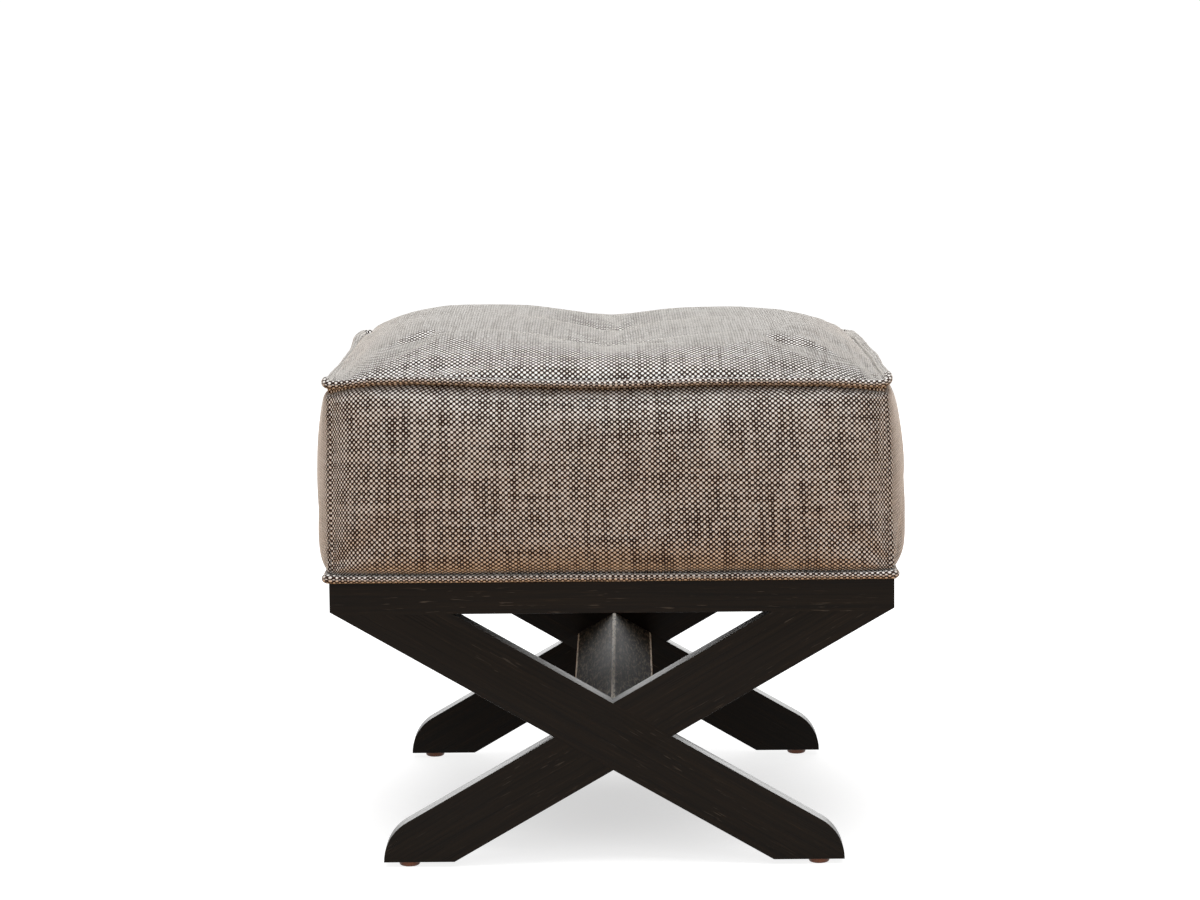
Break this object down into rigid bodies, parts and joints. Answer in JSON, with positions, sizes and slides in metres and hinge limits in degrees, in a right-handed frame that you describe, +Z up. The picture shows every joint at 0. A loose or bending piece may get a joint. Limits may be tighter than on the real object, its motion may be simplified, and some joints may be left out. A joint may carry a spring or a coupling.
{
  "type": "ottoman",
  "caption": "Square upholstered ottoman: a tufted, welted box cushion on crossed-leg hardwood end frames joined by a ridged stretcher.",
  "frame": {"origin": "on the floor, under the middle of the ottoman", "axes": "+X to the right seen from the front, +Y from the front frame to the rear frame, +Z up"},
  "size_m": [0.5708, 0.5708, 0.4927],
  "materials": {
    "stained_wood": "satin espresso stain, worn at the edges",
    "bare_wood": "unfinished hardwood",
    "glide_plastic": "reddish-brown nylon",
    "steel": "zinc plated",
    "cover_fabric": "chunky plain weave of dark brown and cream yarns",
    "webbing": "woven elastic webbing",
    "lining_cloth": "thin black lining cloth",
    "foam": "open-cell foam",
    "padding": "polyester fibre wrap",
    "cord": "twisted cotton"
  },
  "bodies": {
    "root": {"front_top_rail": "stained_wood", "rear_top_rail": "stained_wood", "front_leg_falling": "stained_wood", "front_leg_rising": "stained_wood", "rear_leg_falling": "stained_wood", "rear_leg_rising": "stained_wood", "leg_dowels": "bare_wood", "stretcher": "stained_wood", "stretcher_dowels": "bare_wood", "front_left_glide": "glide_plastic", "front_right_glide": "glide_plastic", "rear_left_glide": "glide_plastic", "rear_right_glide": "glide_plastic", "glide_nails": "steel", "front_seat_rail": "bare_wood", "rear_seat_rail": "bare_wood", "left_seat_rail": "bare_wood", "right_seat_rail": "bare_wood", "seat_frame_dowels": "bare_wood", "corner_blocks": "bare_wood", "corner_block_screws": "steel", "seat_screws": "steel", "lengthwise_webbing": "webbing", "crosswise_webbing": "webbing", "deck_cloth": "lining_cloth", "foam_core": "foam", "padding_wrap": "padding", "top_panel": "cover_fabric", "front_side_panel": "cover_fabric", "rear_side_panel": "cover_fabric", "left_side_panel": "cover_fabric", "right_side_panel": "cover_fabric", "top_welt": "cover_fabric", "top_piping_cord": "cord", "bottom_welt": "cover_fabric", "bottom_piping_cord": "cord", "front_tuft_button": "cover_fabric", "centre_tuft_button": "cover_fabric", "rear_tuft_button": "cover_fabric", "tuft_twines": "cord", "tuft_toggles": "bare_wood", "dust_cover": "lining_cloth"}
  },
  "joints": []
}
